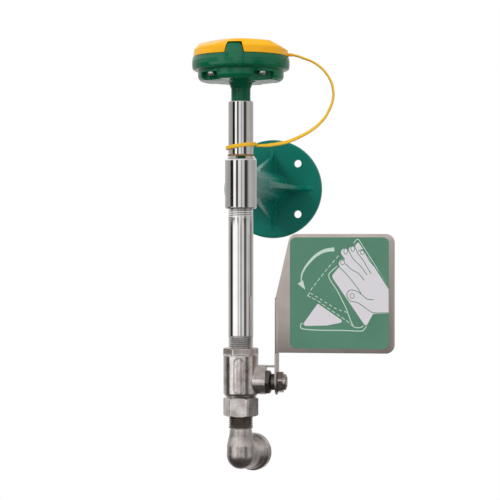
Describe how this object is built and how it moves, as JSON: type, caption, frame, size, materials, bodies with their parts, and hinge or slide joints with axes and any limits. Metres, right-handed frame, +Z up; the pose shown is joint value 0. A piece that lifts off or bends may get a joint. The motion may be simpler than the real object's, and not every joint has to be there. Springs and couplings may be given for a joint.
{
  "type": "wall-mounted eye and face wash",
  "caption": "Wall-bracket eye and face wash: capped spray head on a pipe column, side ball valve worked by an upright push flag, and a street elbow inlet at the foot.",
  "frame": {"origin": "centre of the wall flange's back face, where the bracket meets the wall", "axes": "+Z up along the pipe column, +Y into the wall, front of the wash faces -Y, +X to the side of the push flag"},
  "size_m": [0.1804, 0.2709, 0.3723],
  "materials": {
    "green_paint": "semi-gloss enamel on a cast surface",
    "steel": "machined",
    "chrome": "bright chrome plate",
    "sealant": "dried thread sealant",
    "plated_brass": "satin nickel-plated casting",
    "plated_elbow": "satin nickel-plated casting, slightly darker",
    "seat_plastic": "fluoropolymer",
    "dark_metal": "dark plated steel",
    "green_plastic": "moulded, glossy",
    "black_rubber": "moulded rubber",
    "yellow_strap": "moulded flexible plastic",
    "yellow_plastic": "moulded, glossy",
    "stainless_sheet": "brushed stainless sheet",
    "label_film": "printed vinyl film"
  },
  "bodies": {
    "column": {"wall_bracket": "green_paint", "bracket_stud": "steel", "coupling": "chrome", "sealant_ring": "sealant", "upper_tube": "chrome", "lower_nipple": "chrome", "valve_body": "plated_brass", "valve_end": "plated_brass", "seat_upper": "seat_plastic", "seat_lower": "seat_plastic", "thrust_washer": "seat_plastic", "stem_packing": "seat_plastic", "packing_nut": "dark_metal", "street_elbow": "plated_elbow", "head_bowl": "green_plastic", "head_gasket": "black_rubber", "spray_plate": "green_plastic", "spray_discs": "green_plastic", "head_screws": "steel", "flow_control": "seat_plastic", "inlet_strainer": "steel", "strap_loop": "yellow_strap"},
    "flag": {"valve_ball": "chrome", "valve_stem": "plated_brass", "stem_spacer": "dark_metal", "push_flag": "stainless_sheet", "flag_label": "label_film", "lock_washer": "dark_metal", "lock_nut": "plated_brass"},
    "cover": {"dust_cover": "yellow_plastic", "cover_strap": "yellow_strap"}
  },
  "joints": [
    {"name": "flag_push", "type": "hinge", "parent": "column", "child": "flag", "pos_m": [0.0309, -0.229, -0.172], "axis": [-1, 0, 0], "range_deg": [0, 90]},
    {"name": "cover_lift", "type": "slide", "parent": "column", "child": "cover", "axis": [0, 0, 1], "range_m": [0, 0.06], "deforming": ["cover_strap"]}
  ]
}
